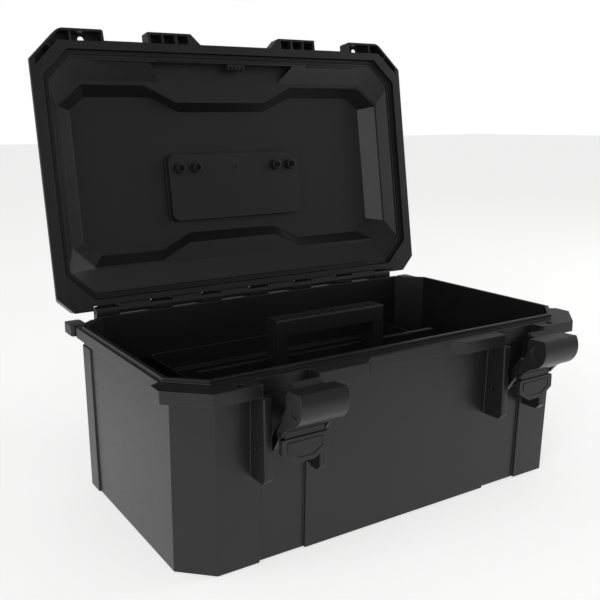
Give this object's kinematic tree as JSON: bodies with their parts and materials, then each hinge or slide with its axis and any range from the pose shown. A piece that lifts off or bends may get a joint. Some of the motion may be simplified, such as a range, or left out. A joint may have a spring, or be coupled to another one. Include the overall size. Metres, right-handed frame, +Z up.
{
  "type": "toolbox with lift-out tray",
  "caption": "Moulded plastic toolbox with a hinged lid held by draw clasps, a folding carry handle on the lid, and a lift-out tray with its own grip.",
  "frame": {"origin": "centre of the tub's bottom face", "axes": "+Z up, +X along the box's length to the right of someone facing the clasps, -Y to the front, where the clasps are"},
  "size_m": [0.5, 0.4315, 0.4916],
  "materials": {
    "tub_plastic": "fine-textured satin polypropylene",
    "lid_plastic": "fine-textured satin polypropylene",
    "tray_plastic": "fine-textured satin polypropylene",
    "clasp_plastic": "smooth nylon",
    "tab_plastic": "satin nylon",
    "handle_plastic": "satin polypropylene",
    "seal_rubber": "matt rubber",
    "rod_steel": "bright drawn steel",
    "screw_steel": "black zinc plated steel"
  },
  "bodies": {
    "base": {"tub": "tub_plastic", "padlock_ear_left": "tub_plastic", "padlock_ear_right": "tub_plastic", "hinge_rod": "rod_steel", "clasp_pin_left": "rod_steel", "clasp_pin_right": "rod_steel"},
    "lid": {"lid": "lid_plastic", "lid_lug_left": "lid_plastic", "lid_lug_right": "lid_plastic", "lid_gasket": "seal_rubber", "front_catch": "lid_plastic", "handle_bracket_left": "handle_plastic", "handle_bracket_right": "handle_plastic", "handle_pin_left": "rod_steel", "handle_pin_right": "rod_steel", "handle_screws": "screw_steel"},
    "tray": {"tray": "tray_plastic"},
    "carry_handle": {"carry_handle": "handle_plastic"},
    "clasp_left": {"clasp_left": "clasp_plastic", "tab_pin_left": "rod_steel"},
    "clasp_right": {"clasp_right": "clasp_plastic", "tab_pin_right": "rod_steel"},
    "pull_tab_left": {"pull_tab_left": "tab_plastic"},
    "pull_tab_right": {"pull_tab_right": "tab_plastic"}
  },
  "joints": [
    {"name": "lid_hinge", "type": "hinge", "parent": "base", "child": "lid", "pos_m": [0, 0.151, 0.184], "axis": [-1, 0, 0], "range_deg": [-98.3, 0]},
    {"name": "tray_lift", "type": "slide", "parent": "base", "child": "tray", "axis": [0, 0, 1], "range_m": [0, 0.2]},
    {"name": "carry_handle_hinge", "type": "hinge", "parent": "lid", "child": "carry_handle", "pos_m": [0, 0.20502, 0.32569], "axis": [1, 0, 0], "range_deg": [-8.3, 81.7]},
    {"name": "clasp_left_hinge", "type": "hinge", "parent": "base", "child": "clasp_left", "pos_m": [-0.1405, -0.15, 0.118], "axis": [1, 0, 0], "range_deg": [-28, 0]},
    {"name": "clasp_right_hinge", "type": "hinge", "parent": "base", "child": "clasp_right", "pos_m": [0.1405, -0.15, 0.118], "axis": [1, 0, 0], "range_deg": [-28, 0]},
    {"name": "pull_tab_left_hinge", "type": "hinge", "parent": "clasp_left", "child": "pull_tab_left", "pos_m": [-0.1405, -0.17399, 0.13798], "axis": [-1, 0, 0], "range_deg": [-28, 60]},
    {"name": "pull_tab_right_hinge", "type": "hinge", "parent": "clasp_right", "child": "pull_tab_right", "pos_m": [0.1405, -0.17399, 0.13798], "axis": [-1, 0, 0], "range_deg": [-28, 60]}
  ]
}
